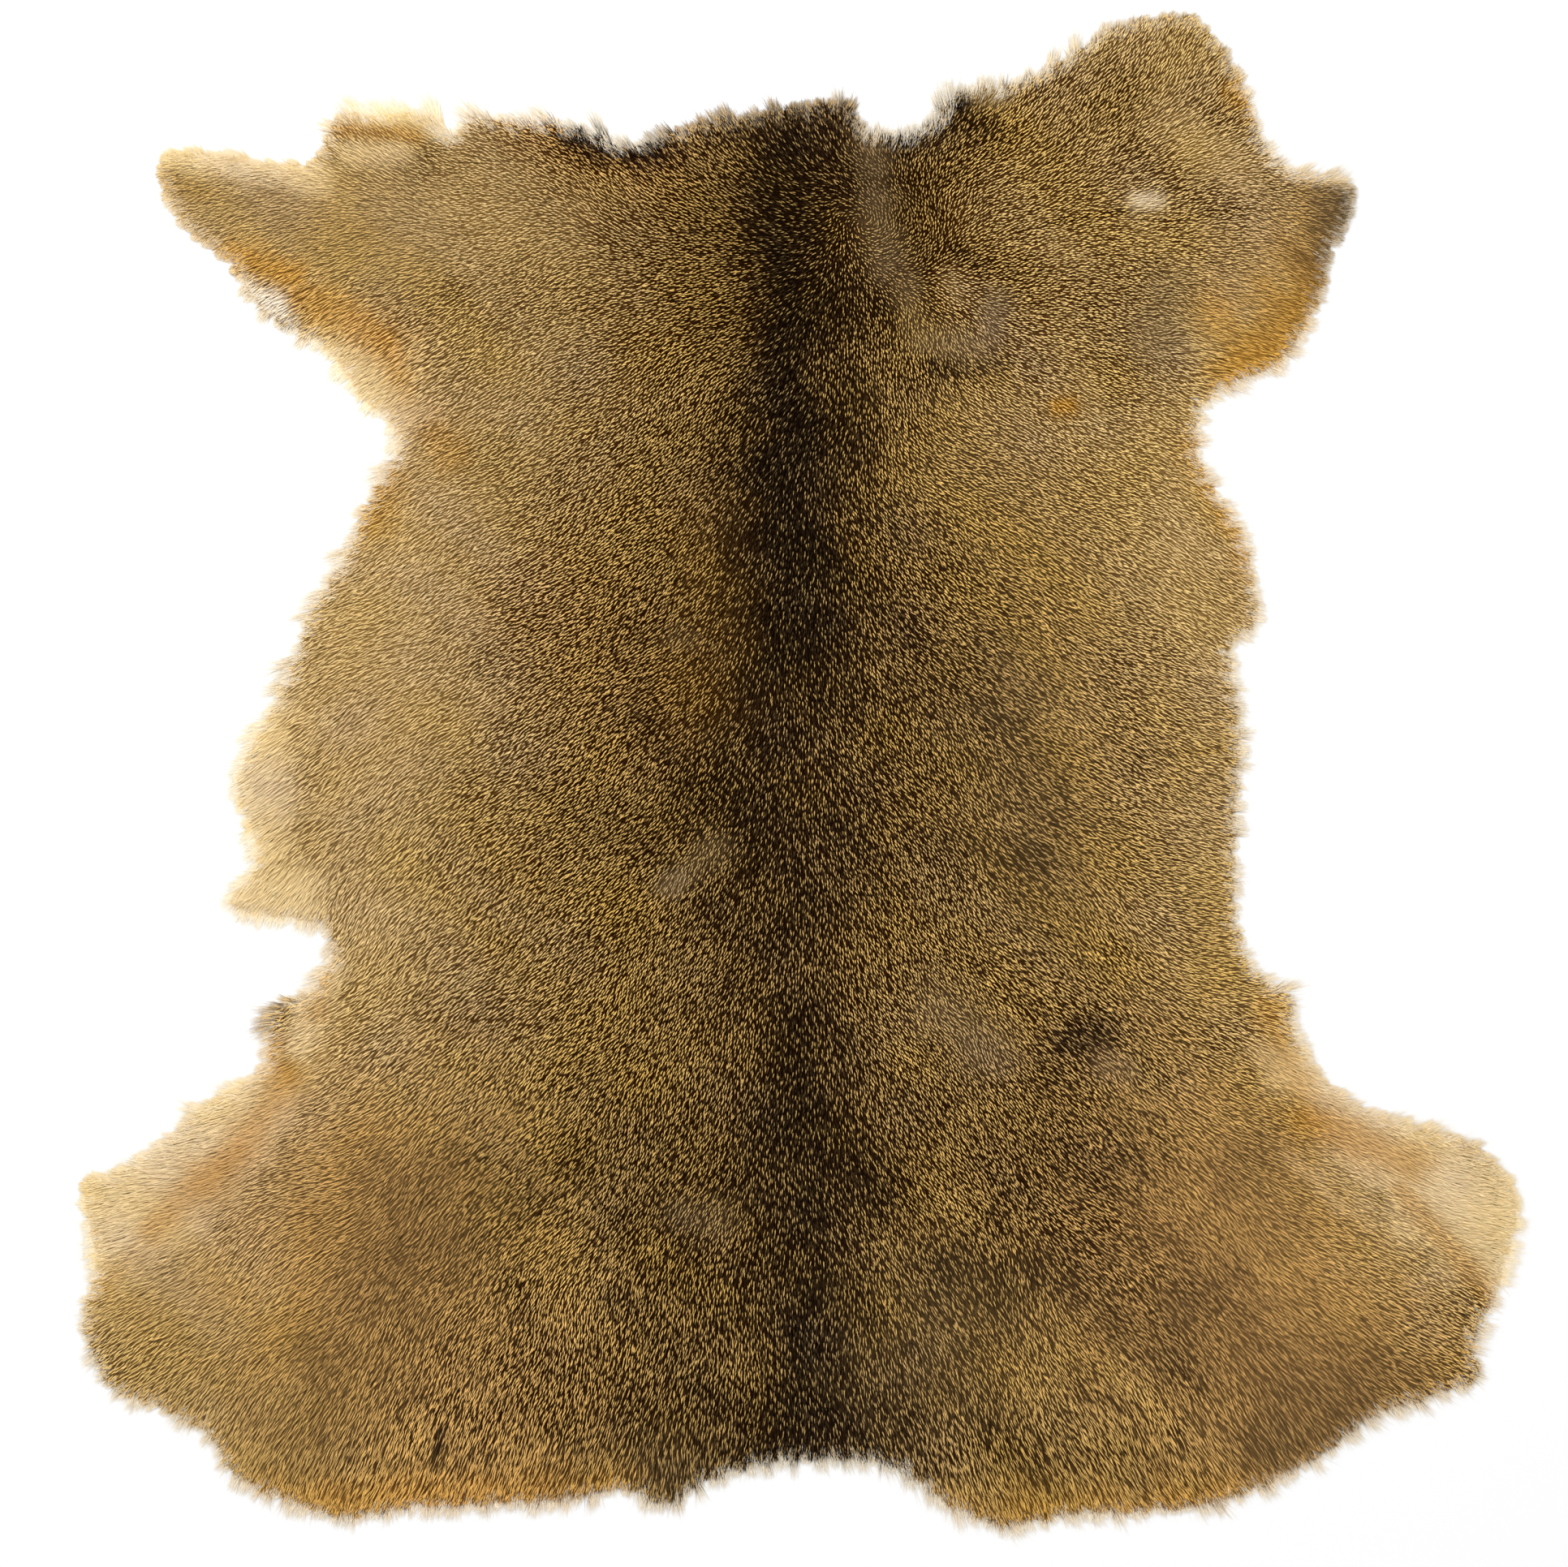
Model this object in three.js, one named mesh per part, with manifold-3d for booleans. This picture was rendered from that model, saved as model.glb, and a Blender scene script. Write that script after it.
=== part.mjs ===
// Deerhide rug: one whole tanned red deer hide with its hair on, lying flat with the hair side up.
// Millimetres, +Z up. The neck points along +Y and the rump along -Y.
// The origin is on the floor, under the middle of the hide's box.

import * as THREE from 'three';
import { mergeVertices } from 'three/addons/utils/BufferGeometryUtils.js';
import Module from 'manifold-3d';

const wasm = await Module();
wasm.setup();

// Size of the hide, from the tips of the hair on one side to the tips on the other
const hideLength = 1199;
const hideWidth = 1145;

// The coat, skin included
const coatDepth = 12;
const rimHeight = 4;
const rimWidth = 46;
const lumpDepth = 1.5;
const gridPitch = 25;

// The locks that stand out round the rim, past the dense part of the coat
const lockReach = 9;
const lockRoot = 9;
const lockSpacing = 19.5;
const lockWidth = 17;
const lockHeight = 3.4;
const lockTurn = 0.24;
const lockBend = 5;
const lieShare = 0.9;

// How finely the outline is followed
const curveTension = 0.5;
const edgeStep = 13;
const keptShare = 0.93;

// The tips of the hair round the hide, going clockwise from the end of the left foreleg.
// x runs to the right and y towards the neck, from the middle of the hide.
const leftForeleg = [
  { x: -509, y: 469 },
  { x: -492, y: 496 },
  { x: -426, y: 486 },
  { x: -382, y: 486 },
  { x: -372, y: 523 },
  { x: -332, y: 523 },
  { x: -289, y: 525 },
  { x: -267, y: 504 },
  { x: -259, y: 521 },
];
const neck = [
  { x: -218, y: 516 },
  { x: -172, y: 513 },
  { x: -135, y: 498 },
  { x: -98, y: 510 },
  { x: -47, y: 520 },
  { x: 2, y: 529 },
  { x: 39, y: 531 },
  { x: 55, y: 508 },
  { x: 96, y: 511 },
  { x: 117, y: 540 },
  { x: 161, y: 545 },
  { x: 200, y: 564 },
  { x: 242, y: 590 },
  { x: 303, y: 598 },
  { x: 336, y: 570 },
  { x: 358, y: 526 },
  { x: 378, y: 483 },
];
const rightForeleg = [
  { x: 428, y: 473 },
  { x: 438, y: 453 },
  { x: 436, y: 433 },
  { x: 420, y: 407 },
  { x: 413, y: 375 },
  { x: 384, y: 319 },
  { x: 342, y: 299 },
  { x: 319, y: 284 },
];
const rightFlank = [
  { x: 319, y: 245 },
  { x: 354, y: 181 },
  { x: 363, y: 137 },
  { x: 360, y: 108 },
  { x: 342, y: 94 },
  { x: 350, y: 33 },
  { x: 345, y: -89 },
  { x: 358, y: -148 },
  { x: 394, y: -174 },
  { x: 390, y: -198 },
];
const rightHindLeg = [
  { x: 413, y: -231 },
  { x: 444, y: -256 },
  { x: 524, y: -283 },
  { x: 552, y: -306 },
  { x: 569, y: -338 },
  { x: 556, y: -399 },
  { x: 534, y: -447 },
  { x: 539, y: -478 },
  { x: 489, y: -499 },
  { x: 453, y: -511 },
  { x: 415, y: -540 },
  { x: 373, y: -561 },
];
const rump = [
  { x: 310, y: -583 },
  { x: 208, y: -589 },
  { x: 152, y: -597 },
  { x: 102, y: -573 },
  { x: 70, y: -550 },
  { x: 11, y: -545 },
  { x: -35, y: -550 },
  { x: -75, y: -564 },
  { x: -103, y: -581 },
  { x: -140, y: -570 },
  { x: -189, y: -577 },
  { x: -301, y: -583 },
  { x: -362, y: -590 },
  { x: -414, y: -573 },
];
const leftHindLeg = [
  { x: -451, y: -554 },
  { x: -471, y: -523 },
  { x: -519, y: -499 },
  { x: -548, y: -485 },
  { x: -570, y: -430 },
  { x: -560, y: -388 },
  { x: -569, y: -317 },
  { x: -542, y: -308 },
  { x: -503, y: -284 },
  { x: -473, y: -255 },
  { x: -429, y: -231 },
  { x: -417, y: -185 },
];
const leftFlank = [
  { x: -385, y: -163 },
  { x: -372, y: -131 },
  { x: -400, y: -121 },
  { x: -453, y: -113 },
  { x: -451, y: -89 },
  { x: -432, y: -68 },
  { x: -448, y: -17 },
  { x: -437, y: 26 },
  { x: -408, y: 77 },
  { x: -389, y: 132 },
  { x: -364, y: 168 },
  { x: -346, y: 216 },
  { x: -321, y: 258 },
  { x: -352, y: 292 },
  { x: -380, y: 330 },
  { x: -424, y: 356 },
  { x: -454, y: 398 },
  { x: -489, y: 424 },
];
const hairTips = [leftForeleg, neck, rightForeleg, rightFlank, rightHindLeg, rump, leftHindLeg, leftFlank].flat();

// Troughs and swells of the coat that show from a step away: a line from one place to another,
// how deep the coat dips along it (below zero it swells), and how far to each side.
const folds = [
  { name: 'parting down the spine', fromX: -5, fromY: 430, toX: 8, toY: -500, dip: 1.4, reach: 34 },
  { name: 'crease in the right flank', fromX: 240, fromY: 14, toX: 352, toY: 20, dip: 3.4, reach: 20 },
  { name: 'crease in the right shoulder', fromX: 185, fromY: 430, toX: 275, toY: 447, dip: 2.6, reach: 20 },
  { name: 'rubbed patch beside the neck', fromX: 60, fromY: 400, toX: 75, toY: 450, dip: 2.6, reach: 34 },
  { name: 'rubbed ring on the shoulder', fromX: 95, fromY: 335, toX: 150, toY: 352, dip: 2.4, reach: 30 },
  { name: 'rubbed patch on the loin', fromX: 125, fromY: -200, toX: 150, toY: -225, dip: 2.2, reach: 40 },
  { name: 'dip behind the left shoulder', fromX: -250, fromY: 200, toX: -200, toY: 90, dip: 1.2, reach: 60 },
  { name: 'swell of the left haunch', fromX: -380, fromY: -430, toX: -260, toY: -330, dip: -2.2, reach: 95 },
  { name: 'swell of the right haunch', fromX: 260, fromY: -330, toX: 400, toY: -430, dip: -2.2, reach: 95 },
  { name: 'swell of the left shoulder', fromX: -300, fromY: 400, toX: -160, toY: 380, dip: -1.8, reach: 90 },
  { name: 'swell of the right shoulder', fromX: 230, fromY: 480, toX: 300, toY: 370, dip: -1.8, reach: 80 },
  { name: 'hollow between the right neck and foreleg', fromX: 330, fromY: 455, toX: 360, toY: 470, dip: 1.6, reach: 32 },
  { name: 'hollow of the left groin', fromX: -400, fromY: -190, toX: -380, toY: -260, dip: 1.6, reach: 36 },
];

// Which way the tips of the hair point, in degrees from +X, turning towards +Y
const hairLie = [
  { x: -430, y: 455, angle: 176 },
  { x: -440, y: 390, angle: 222 },
  { x: -320, y: 505, angle: 130 },
  { x: -60, y: 520, angle: 103 },
  { x: 130, y: 530, angle: 80 },
  { x: 270, y: 570, angle: 58 },
  { x: 380, y: 470, angle: 25 },
  { x: 410, y: 380, angle: -30 },
  { x: 330, y: 290, angle: -45 },
  { x: 350, y: 0, angle: -8 },
  { x: 420, y: -230, angle: 25 },
  { x: 550, y: -380, angle: -20 },
  { x: 400, y: -540, angle: -58 },
  { x: 110, y: -575, angle: -72 },
  { x: -100, y: -570, angle: -98 },
  { x: -380, y: -580, angle: -110 },
  { x: -540, y: -480, angle: 218 },
  { x: -550, y: -330, angle: 190 },
  { x: -420, y: -200, angle: 205 },
  { x: -440, y: -50, angle: 218 },
  { x: -370, y: 200, angle: 216 },
];
const lieReach = 110;

// A number between 0 and 1 that looks random and is the same in every run
function chance(item, kind) {
  const mixed = Math.sin(item * 12.9898 + kind * 78.233) * 43758.5453;
  return mixed - Math.floor(mixed);
}

function smoothStep(value) {
  const share = Math.min(Math.max(value, 0), 1);
  return share * share * (3 - 2 * share);
}

function distanceToLine(x, y, from, to) {
  const runX = to.x - from.x;
  const runY = to.y - from.y;
  const share = ((x - from.x) * runX + (y - from.y) * runY) / (runX * runX + runY * runY);
  const held = Math.min(Math.max(share, 0), 1);
  return Math.hypot(x - from.x - held * runX, y - from.y - held * runY);
}

function distanceToLoop(x, y, loop) {
  let nearest = Infinity;
  for (let i = 0; i < loop.length; i += 1) {
    nearest = Math.min(nearest, distanceToLine(x, y, loop[i], loop[(i + 1) % loop.length]));
  }
  return nearest;
}

// A smooth closed curve through the given places
function smoothLoop(places) {
  const stops = places.map(({ x, y }) => new THREE.Vector3(x, y, 0));
  const curve = new THREE.CatmullRomCurve3(stops, true, 'catmullrom', curveTension);
  curve.arcLengthDivisions = 20 * places.length;
  return curve;
}

function evenPlaces(curve, step) {
  const count = Math.round(curve.getLength() / step);
  return curve.getSpacedPoints(count).slice(0, count);
}

// The edge of the dense coat: the line of the tips, drawn in by the reach of the locks.
// In a sharp corner the drawn-in places cross over, and those too near the line are left out.
function drawIn(places, depth) {
  const drawn = places.map((place, i) => {
    const before = places[(i + places.length - 1) % places.length];
    const after = places[(i + 1) % places.length];
    const along = new THREE.Vector2(after.x - before.x, after.y - before.y).normalize();
    return { x: place.x + along.y * depth, y: place.y - along.x * depth };
  });
  return drawn.filter(({ x, y }) => distanceToLoop(x, y, places) > keptShare * depth);
}

// Slow waves and finer lumps of the coat, from -1 to 1
function unevenness(x, y) {
  const slow = Math.sin(x / 41 + 1.3 * Math.sin(y / 67)) * Math.sin(y / 49 + 1.1 * Math.sin(x / 83));
  const fine = Math.sin(x / 19 + y / 31) * Math.sin(y / 23 - x / 37);
  return 0.6 * slow + 0.4 * fine;
}

function coatHeight(x, y, edge) {
  const rise = smoothStep(distanceToLoop(x, y, edge) / rimWidth);
  let height = coatDepth + lumpDepth * unevenness(x, y);
  for (const fold of folds) {
    const from = { x: fold.fromX, y: fold.fromY };
    const to = { x: fold.toX, y: fold.toY };
    const share = distanceToLine(x, y, from, to) / fold.reach;
    height -= fold.dip * Math.exp(-share * share);
  }
  return rimHeight + (height - rimHeight) * rise;
}

function toSolid(geometry) {
  const bare = geometry.clone();
  bare.deleteAttribute('normal');
  bare.deleteAttribute('uv');
  const joined = mergeVertices(bare, 1e-4);
  return new wasm.Manifold(new wasm.Mesh({
    numProp: 3,
    vertProperties: new Float32Array(joined.attributes.position.array),
    triVerts: new Uint32Array(joined.index.array),
  }));
}

function toGeometry(solid) {
  const mesh = solid.getMesh();
  const geometry = new THREE.BufferGeometry();
  geometry.setAttribute('position', new THREE.BufferAttribute(new Float32Array(mesh.vertProperties), 3));
  geometry.setIndex(new THREE.BufferAttribute(new Uint32Array(mesh.triVerts), 1));
  return geometry;
}

// A wall that stands on the edge, flat below, higher than the coat
function outlineWall(edge) {
  const outline = new THREE.Shape(edge.map(({ x, y }) => new THREE.Vector2(x, y)));
  return new THREE.ExtrudeGeometry(outline, { depth: 3 * coatDepth, bevelEnabled: false });
}

// The air over the whole box, with the lumpy top of the coat as its underside
function airAbove(edge) {
  const width = hideWidth + 2 * gridPitch;
  const length = hideLength + 2 * gridPitch;
  const columns = Math.round(width / gridPitch);
  const rows = Math.round(length / gridPitch);
  const air = new THREE.BoxGeometry(width, length, 1, columns, rows, 1);
  const place = air.attributes.position;
  for (let i = 0; i < place.count; i += 1) {
    const isUnderside = place.getZ(i) < 0;
    place.setZ(i, isUnderside ? coatHeight(place.getX(i), place.getY(i), edge) : 5 * coatDepth);
  }
  return air;
}

// A lock of hair with three sides. It lies on the floor all the way and ends in a point.
function rimLock({ x, y, angle, length, width, height, bend }) {
  const lock = new THREE.ConeGeometry(1, 1, 3, 2);
  const place = lock.attributes.position;
  for (let i = 0; i < place.count; i += 1) {
    const along = place.getY(i) + 0.5;
    const coneRadius = 1 - along;
    const fullness = 1 - along * along;
    const across = coneRadius > 0 ? (place.getX(i) / coneRadius) * fullness * (width / 2) : 0;
    const up = coneRadius > 0 ? ((place.getZ(i) / coneRadius + 0.5) / 1.5) * fullness * height : 0;
    place.setXYZ(i, across + bend * along * along, along * length, up);
  }
  lock.rotateZ(angle - Math.PI / 2);
  lock.translate(x, y, 0);
  return lock;
}

// The way the hair lies at a place, as a direction on the floor
function lieAt(x, y) {
  const lie = new THREE.Vector2(0, 0);
  for (const row of hairLie) {
    const weight = Math.exp(-((Math.hypot(x - row.x, y - row.y) / lieReach) ** 2));
    const turn = THREE.MathUtils.degToRad(row.angle);
    lie.x += weight * Math.cos(turn);
    lie.y += weight * Math.sin(turn);
  }
  return lie.length() > 0 ? lie.normalize() : lie;
}

// Locks all round the edge, each turned between straight out and the way the hair lies
function rimLocks(edge) {
  const roots = evenPlaces(smoothLoop(edge), lockSpacing);
  return roots.map((root, i) => {
    const before = roots[(i + roots.length - 1) % roots.length];
    const after = roots[(i + 1) % roots.length];
    const outward = new THREE.Vector2(before.y - after.y, after.x - before.x).normalize();
    const heading = outward.clone().addScaledVector(lieAt(root.x, root.y), lieShare).normalize();
    return rimLock({
      x: root.x - heading.x * lockRoot,
      y: root.y - heading.y * lockRoot,
      angle: Math.atan2(heading.y, heading.x) + lockTurn * (chance(i, 1) - 0.5),
      length: lockRoot + lockReach * (0.75 + 0.75 * chance(i, 2)),
      width: lockWidth * (0.8 + 0.4 * chance(i, 3)),
      height: lockHeight * (0.85 + 0.15 * chance(i, 4)),
      bend: lockBend * (chance(i, 5) - 0.5),
    });
  });
}

const tipLine = evenPlaces(smoothLoop(hairTips), edgeStep / 2);
const denseEdge = drawIn(tipLine, lockReach).filter((place, i) => i % 2 === 0);

let hideSolid = toSolid(outlineWall(denseEdge)).subtract(toSolid(airAbove(denseEdge)));
for (const lock of rimLocks(denseEdge)) {
  hideSolid = hideSolid.add(toSolid(lock));
}

const hairOnHide = new THREE.MeshStandardMaterial({ color: 0x9a7a46, roughness: 0.85, metalness: 0 });
const hide = new THREE.Mesh(toGeometry(hideSolid), hairOnHide);
hide.name = 'hide';

const rug = new THREE.Group();
rug.add(hide);

export default rug;
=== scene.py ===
# Looks of the deerhide rug: tanned skin, underwool, and a coat of guard hair laid lock by lock.
# The hair follows the solid in the frame: where the solid is, how high its top is, where its rim is.

import math

import bpy
import numpy as np
from mathutils.bvhtree import BVHTree
from mathutils.kdtree import KDTree
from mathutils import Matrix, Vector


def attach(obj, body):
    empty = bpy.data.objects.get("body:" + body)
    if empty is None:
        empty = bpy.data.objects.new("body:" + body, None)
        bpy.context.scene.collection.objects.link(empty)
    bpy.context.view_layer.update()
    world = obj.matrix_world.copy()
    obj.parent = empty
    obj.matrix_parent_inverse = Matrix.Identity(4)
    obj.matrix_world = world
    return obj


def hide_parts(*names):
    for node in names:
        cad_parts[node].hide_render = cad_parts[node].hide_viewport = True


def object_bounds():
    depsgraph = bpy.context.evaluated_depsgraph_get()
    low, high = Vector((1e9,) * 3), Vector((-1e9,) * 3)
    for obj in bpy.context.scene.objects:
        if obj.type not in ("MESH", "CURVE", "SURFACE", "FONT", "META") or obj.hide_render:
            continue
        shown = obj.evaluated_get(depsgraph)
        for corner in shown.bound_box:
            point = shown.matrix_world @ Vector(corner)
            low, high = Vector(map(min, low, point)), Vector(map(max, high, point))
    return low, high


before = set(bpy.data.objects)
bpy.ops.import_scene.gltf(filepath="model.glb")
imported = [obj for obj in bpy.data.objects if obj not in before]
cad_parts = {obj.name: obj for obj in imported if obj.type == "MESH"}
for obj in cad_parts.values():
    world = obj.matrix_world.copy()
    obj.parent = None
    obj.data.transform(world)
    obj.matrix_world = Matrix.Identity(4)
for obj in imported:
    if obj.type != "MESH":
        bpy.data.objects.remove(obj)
cadLow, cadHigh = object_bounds()
mm = 0.001


def smoothStep(value):
    share = np.clip(value, 0, 1)
    return share * share * (3 - 2 * share)


def distanceToLine(x, y, fromX, fromY, toX, toY):
    runX = toX - fromX
    runY = toY - fromY
    share = ((x - fromX) * runX + (y - fromY) * runY) / (runX**2 + runY**2)
    held = np.clip(share, 0, 1)
    return np.hypot(x - fromX - held * runX, y - fromY - held * runY)


# A smooth wave over the hide, by how high and how wide its humps are and where it starts
def waves(x, y, form):
    height, size, phase = form
    first = np.sin(x / size + 1.7 * np.sin(y / (1.6 * size) + phase))
    second = np.sin(y / (0.9 * size) + 1.4 * np.sin(x / (1.3 * size) - 2 * phase))
    third = np.sin((x + y) / (0.7 * size) + phase)
    return height * ((first * second + 0.5 * third * second + 0.3 * third) / 1.3)


# How finely the solid is read
survey = {
    "pitch": 3.0,
    "margin": 24,
    "raysFrom": 10,
    "leastHeight": 0.05,
    "softening": 2,
    "smoothsLocksOf": 7.5,
}


# The frame's solid, read on a grid in millimetres: the height of its top, and the distance inside its rim
class HideSurvey:
    def __init__(self, node):
        mesh = node.data
        points = [vertex.co / mm for vertex in mesh.vertices]
        faces = [tuple(polygon.vertices) for polygon in mesh.polygons]
        tree = BVHTree.FromPolygons(points, faces)
        self.pitch = survey["pitch"]
        self.left = cadLow.x / mm - survey["margin"]
        self.front = cadLow.y / mm - survey["margin"]
        self.across = int(((cadHigh.x - cadLow.x) / mm + 2 * survey["margin"]) / self.pitch) + 2
        self.deep = int(((cadHigh.y - cadLow.y) / mm + 2 * survey["margin"]) / self.pitch) + 2
        self.height = np.zeros((self.deep, self.across))
        above = cadHigh.z / mm + survey["raysFrom"]
        for j in range(self.deep):
            for i in range(self.across):
                at = (self.left + i * self.pitch, self.front + j * self.pitch, above)
                hit = tree.ray_cast(at, (0, 0, -1))[0]
                if hit is not None:
                    self.height[j, i] = hit.z
        lockWidth = survey["smoothsLocksOf"]
        self.inside = self.rimDistance(self.height > survey["leastHeight"])
        self.inside = self.rimDistance(self.inside > lockWidth) + lockWidth
        self.height = self.softened(self.height, survey["softening"])
        slopeY, slopeX = np.gradient(self.softened(self.inside, survey["softening"]), self.pitch)
        size = np.maximum(np.hypot(slopeX, slopeY), 1e-6)
        self.outX = -slopeX / size
        self.outY = -slopeY / size

    def softened(self, field, times):
        for _ in range(times):
            padded = np.pad(field, 1, mode="edge")
            rows = (padded[:-2] + 2 * padded[1:-1] + padded[2:]) / 4
            field = (rows[:, :-2] + 2 * rows[:, 1:-1] + rows[:, 2:]) / 4
        return field

    # Above zero inside a shape's rim and below zero outside it
    def rimDistance(self, solid):
        beside = np.zeros_like(solid)
        for step, axis in ((1, 0), (-1, 0), (1, 1), (-1, 1)):
            beside |= np.roll(solid, step, axis) != solid
        distance = np.zeros_like(self.height)
        for kind in (True, False):
            j, i = np.nonzero(beside & (solid != kind))
            tree = KDTree(len(i))
            for k in range(len(i)):
                tree.insert((i[k], j[k], 0), k)
            tree.balance()
            rows, places = np.nonzero(solid == kind)
            sign = 1 if kind else -1
            for row, place in zip(rows, places):
                away = tree.find((place, row, 0))[2] - 0.5
                distance[row, place] = sign * away * self.pitch
        return distance

    def read(self, field, x, y):
        across = np.clip((x - self.left) / self.pitch, 0, self.across - 1.001)
        deep = np.clip((y - self.front) / self.pitch, 0, self.deep - 1.001)
        i = across.astype(int)
        j = deep.astype(int)
        u = across - i
        v = deep - j
        near = field[j, i] * (1 - u) + field[j, i + 1] * u
        far = field[j + 1, i] * (1 - u) + field[j + 1, i + 1] * u
        return near * (1 - v) + far * v


# Place by place, how the hair lies: x and y in millimetres from the middle of the hide, +y towards the
# neck, which way it points, in degrees from +x towards +y, and how long a lock is
hairLie = [
    (-16, 505, 100, 13), (-73, 484, 112, 12), (-73, 452, 158, 11), (-54, 414, 184, 11), (-54, 370, 210, 11),
    (-150, 490, 148, 11), (-245, 478, 168, 11), (-321, 503, 132, 12), (-213, 370, 210, 12),
    (-330, 430, 186, 11), (-450, 460, 176, 10), (-440, 405, 222, 12), (-350, 350, 214, 14),
    (54, 505, 88, 9), (0, 440, 195, 10), (50, 375, 272, 9), (115, 440, 5, 9), (86, 480, 60, 10),
    (137, 478, 25, 11), (128, 535, 84, 13), (200, 520, 45, 11), (264, 567, 62, 12), (328, 545, 44, 14),
    (296, 465, 14, 12), (200, 420, 2, 11), (395, 432, -5, 10), (395, 389, -34, 12), (355, 335, -14, 14),
    (260, 340, -18, 12), (73, 345, -72, 11), (169, 287, -28, 12), (0, 300, 266, 13), (0, 150, 269, 12),
    (0, 0, 270, 12), (2, -150, 270, 12), (5, -300, 270, 13), (5, -450, 269, 14), (-67, 280, 222, 12),
    (-67, 150, 222, 12), (-67, 0, 228, 12), (-67, -150, 236, 12), (-80, -300, 242, 13),
    (-118, -470, 258, 15), (73, 160, -48, 12), (73, 0, -52, 12), (73, -150, -56, 12), (80, -300, -60, 13),
    (110, -480, -66, 15), (-245, 200, 213, 13), (-245, 32, 215, 13), (-200, -150, 222, 13),
    (-230, -330, 230, 14), (-250, -490, 244, 16), (-350, 130, 212, 15), (-400, 0, 218, 16),
    (-372, -95, 228, 16), (-400, -190, 212, 15), (-430, -260, 200, 15), (-520, -330, 190, 15),
    (-468, -413, 218, 15), (-400, -540, 240, 17), (-309, -560, 250, 18), (200, 110, -38, 13),
    (296, 200, -28, 14), (296, 32, -30, 14), (345, 0, -8, 15), (345, -110, -14, 15), (200, -150, -42, 13),
    (391, -240, -25, 14), (487, -318, -18, 14), (455, -413, -28, 15), (296, -350, -45, 14),
    (400, -520, -50, 17), (264, -550, -60, 18),
]
lie = {"reach": 62, "farShare": 0.0006, "farReach": 260, "sway": (9, 38, 0.3)}


def lieAt(x, y):
    rowX, rowY, angle, length = np.array(hairLie, float).T
    turn = np.radians(angle)
    along = np.zeros_like(x)
    aside = np.zeros_like(x)
    total = np.zeros_like(x)
    measured = np.zeros_like(x)
    for k in range(len(hairLie)):
        away = (x - rowX[k]) ** 2 + (y - rowY[k]) ** 2
        weight = np.exp(-away / lie["reach"] ** 2) + lie["farShare"] * np.exp(-away / lie["farReach"] ** 2)
        along += weight * math.cos(turn[k])
        aside += weight * math.sin(turn[k])
        total += weight
        measured += weight * length[k]
    return np.arctan2(aside, along), measured / np.maximum(total, 1e-12)


# How dark the coat is across the back, section by section from neck to rump
backToneNames = ("y", "leftFlank", "rightFlank", "back", "toLeft", "toRight", "spine", "spineWidth", "spineX")
backTones = [
    (560, 0, 0.18, 0.66, 150, 120, 0.1, 40, -20),
    (500, 0.18, 0.24, 0.8, 160, 160, 0.14, 36, -6),
    (440, 0.12, 0.24, 0.7, 118, 112, 0.26, 40, -10),
    (370, 0.18, 0.26, 0.66, 112, 148, 0.3, 42, -6),
    (280, 0, 0.12, 0.68, 160, 125, 0.34, 46, -8),
    (200, 0.02, 0.1, 0.75, 176, 190, 0.3, 44, -14),
    (110, 0.06, 0.16, 0.82, 214, 234, 0.18, 42, -8),
    (20, 0.06, 0.28, 0.78, 194, 242, 0.08, 46, -28),
    (-40, 0.05, 0.22, 0.85, 216, 244, 0.04, 46, -22),
    (-100, 0, 0.31, 0.76, 226, 215, 0.1, 42, -10),
    (-160, 0, 0.35, 0.66, 262, 240, 0.14, 40, -4),
    (-230, 0, 0.3, 0.7, 290, 300, 0.26, 40, 0),
    (-300, 0.12, 0.22, 0.82, 355, 385, 0.16, 40, 2),
    (-380, 0.13, 0.24, 0.77, 410, 390, 0.16, 38, 2),
    (-460, 0.18, 0.5, 0.75, 430, 220, 0.16, 32, 2),
    (-530, 0.5, 0.7, 0.94, 220, 110, 0.06, 28, 10),
]

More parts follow.
